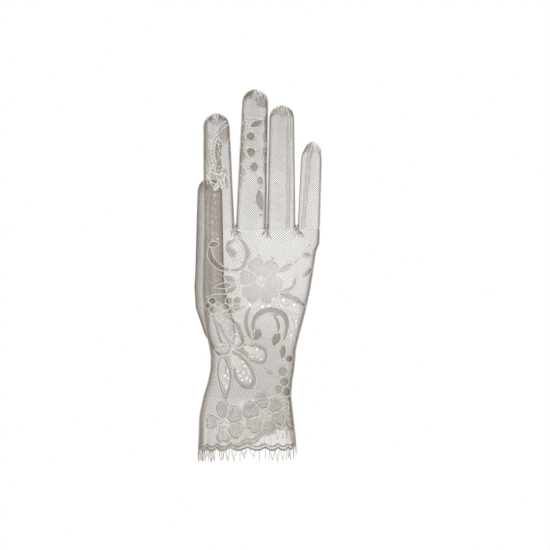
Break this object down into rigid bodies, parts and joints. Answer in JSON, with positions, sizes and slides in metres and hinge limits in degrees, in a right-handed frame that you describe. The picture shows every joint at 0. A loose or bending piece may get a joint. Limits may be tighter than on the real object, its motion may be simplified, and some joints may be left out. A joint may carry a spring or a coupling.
{
  "type": "lace wedding glove",
  "caption": "Sheer floral lace dress glove for a right hand, with bending fingers and thumb, scalloped corded hem and eyelash fringe at a flared wrist.",
  "frame": {"origin": "on the forearm's axis, in the plane at the height of the lowest hem scallops, inside the hand opening", "axes": "+Z towards the fingertips, +X towards the little finger, -Y out of the back of the hand, +Y out of the palm"},
  "size_m": [0.0785, 0.0903, 0.2317],
  "materials": {
    "floral_lace": "ivory tulle ground with dense floral fillings and raised cord",
    "edge_cord": "lustrous twisted cord",
    "stretch_net": "plain stretch net",
    "eyelash_thread": "loose fine thread"
  },
  "bodies": {
    "cuff": {"cuff_back_panel": "floral_lace", "cuff_palm_panel": "floral_lace", "eyelash_fringe": "eyelash_thread", "scalloped_edge": "edge_cord", "wrist_gusset_back": "stretch_net", "wrist_gusset_palm": "stretch_net"},
    "hand": {"hand_back_panel": "floral_lace", "hand_palm_panel": "floral_lace", "index_root_gusset_palm": "stretch_net", "little_root_gusset_palm": "stretch_net", "middle_root_gusset_palm": "stretch_net", "ring_root_gusset_palm": "stretch_net", "thumb_root_gusset_inner": "stretch_net", "thumb_root_gusset_outer": "stretch_net", "web_gusset_index_middle": "stretch_net", "web_gusset_middle_ring": "stretch_net", "web_gusset_ring_little": "stretch_net"},
    "index_root": {"index_middle_gusset_palm": "stretch_net", "index_root_back": "floral_lace", "index_root_palm": "floral_lace"},
    "index_middle": {"index_middle_back": "floral_lace", "index_middle_palm": "floral_lace", "index_tip_gusset_palm": "stretch_net"},
    "index_tip": {"index_tip_back": "floral_lace", "index_tip_palm": "floral_lace"},
    "middle_root": {"middle_middle_gusset_palm": "stretch_net", "middle_root_back": "floral_lace", "middle_root_palm": "floral_lace"},
    "middle_middle": {"middle_middle_back": "floral_lace", "middle_middle_palm": "floral_lace", "middle_tip_gusset_palm": "stretch_net"},
    "middle_tip": {"middle_tip_back": "floral_lace", "middle_tip_palm": "floral_lace"},
    "ring_root": {"ring_middle_gusset_palm": "stretch_net", "ring_root_back": "floral_lace", "ring_root_palm": "floral_lace"},
    "ring_middle": {"ring_middle_back": "floral_lace", "ring_middle_palm": "floral_lace", "ring_tip_gusset_palm": "stretch_net"},
    "ring_tip": {"ring_tip_back": "floral_lace", "ring_tip_palm": "floral_lace"},
    "little_root": {"little_middle_gusset_palm": "stretch_net", "little_root_back": "floral_lace", "little_root_palm": "floral_lace"},
    "little_middle": {"little_middle_back": "floral_lace", "little_middle_palm": "floral_lace", "little_tip_gusset_palm": "stretch_net"},
    "little_tip": {"little_tip_back": "floral_lace", "little_tip_palm": "floral_lace"},
    "thumb_root": {"thumb_root_inner": "floral_lace", "thumb_root_outer": "floral_lace", "thumb_tip_gusset_inner": "stretch_net"},
    "thumb_tip": {"thumb_tip_inner": "floral_lace", "thumb_tip_outer": "floral_lace"}
  },
  "joints": [
    {"name": "wrist_bend", "type": "hinge", "parent": "cuff", "child": "hand", "pos_m": [0, 0, 0.054], "axis": [-1, 0, 0], "range_deg": [-40, 50], "deforming": ["wrist_gusset_back", "wrist_gusset_palm"]},
    {"name": "index_knuckle_bend", "type": "hinge", "parent": "hand", "child": "index_root", "pos_m": [-0.02187, 0.00003, 0.141], "axis": [-0.9996, 0, -0.0279], "range_deg": [0, 50], "deforming": ["index_root_gusset_palm"]},
    {"name": "index_middle_bend", "type": "hinge", "parent": "index_root", "child": "index_middle", "pos_m": [-0.02257, 0.00088, 0.16599], "axis": [-0.9996, 0, -0.0279], "range_deg": [0, 75], "deforming": ["index_middle_gusset_palm"]},
    {"name": "index_end_bend", "type": "hinge", "parent": "index_middle", "child": "index_tip", "pos_m": [-0.02318, 0.00257, 0.18798], "axis": [-0.9996, 0, -0.0279], "range_deg": [0, 41.25], "deforming": ["index_tip_gusset_palm"]},
    {"name": "middle_knuckle_bend", "type": "hinge", "parent": "hand", "child": "middle_root", "pos_m": [-0.002, 0.00002, 0.141], "axis": [-0.9995, 0, 0.0332], "range_deg": [0, 70], "deforming": ["middle_root_gusset_palm"]},
    {"name": "middle_middle_bend", "type": "hinge", "parent": "middle_root", "child": "middle_middle", "pos_m": [-0.00104, 0.00077, 0.16998], "axis": [-0.9995, 0, 0.0332], "range_deg": [0, 85], "deforming": ["middle_middle_gusset_palm"]},
    {"name": "middle_end_bend", "type": "hinge", "parent": "middle_middle", "child": "middle_tip", "pos_m": [-0.00018, 0.00235, 0.19597], "axis": [-0.9995, 0, 0.0332], "range_deg": [0, 46.75], "deforming": ["middle_tip_gusset_palm"]},
    {"name": "ring_knuckle_bend", "type": "hinge", "parent": "hand", "child": "ring_root", "pos_m": [0.01683, 0.00003, 0.141], "axis": [-1, 0, 0.0052], "range_deg": [0, 70], "deforming": ["ring_root_gusset_palm"]},
    {"name": "ring_middle_bend", "type": "hinge", "parent": "ring_root", "child": "ring_middle", "pos_m": [0.01697, 0.00082, 0.167], "axis": [-1, 0, 0.0052], "range_deg": [0, 85], "deforming": ["ring_middle_gusset_palm"]},
    {"name": "ring_end_bend", "type": "hinge", "parent": "ring_middle", "child": "ring_tip", "pos_m": [0.01709, 0.00251, 0.191], "axis": [-1, 0, 0.0052], "range_deg": [0, 46.75], "deforming": ["ring_tip_gusset_palm"]},
    {"name": "little_knuckle_bend", "type": "hinge", "parent": "hand", "child": "little_root", "pos_m": [0.03359, 0.00004, 0.14], "axis": [-0.9993, 0, 0.0384], "range_deg": [0, 70], "deforming": ["little_root_gusset_palm"]},
    {"name": "little_middle_bend", "type": "hinge", "parent": "little_root", "child": "little_middle", "pos_m": [0.03428, 0.00083, 0.15798], "axis": [-0.9993, 0, 0.0384], "range_deg": [0, 85], "deforming": ["little_middle_gusset_palm"]},
    {"name": "little_end_bend", "type": "hinge", "parent": "little_middle", "child": "little_tip", "pos_m": [0.03492, 0.00244, 0.17447], "axis": [-0.9993, 0, 0.0384], "range_deg": [0, 46.75], "deforming": ["little_tip_gusset_palm"]},
    {"name": "thumb_spread", "type": "hinge", "parent": "hand", "child": "thumb_root", "pos_m": [-0.028, 0.02868, 0.10384], "axis": [0, -0.8829, 0.4695], "range_deg": [-15, 40], "deforming": ["thumb_root_gusset_inner", "thumb_root_gusset_outer"]},
    {"name": "thumb_end_bend", "type": "hinge", "parent": "thumb_root", "child": "thumb_tip", "pos_m": [-0.028, 0.04886, 0.14181], "axis": [0, 0.8829, -0.4695], "range_deg": [0, 60], "deforming": ["thumb_tip_gusset_inner"]}
  ],
  "couplings": [
    {"joint": "index_end_bend", "follows": "index_middle_bend", "ratio": 0.55},
    {"joint": "little_end_bend", "follows": "little_middle_bend", "ratio": 0.55},
    {"joint": "middle_end_bend", "follows": "middle_middle_bend", "ratio": 0.55},
    {"joint": "ring_end_bend", "follows": "ring_middle_bend", "ratio": 0.55}
  ]
}
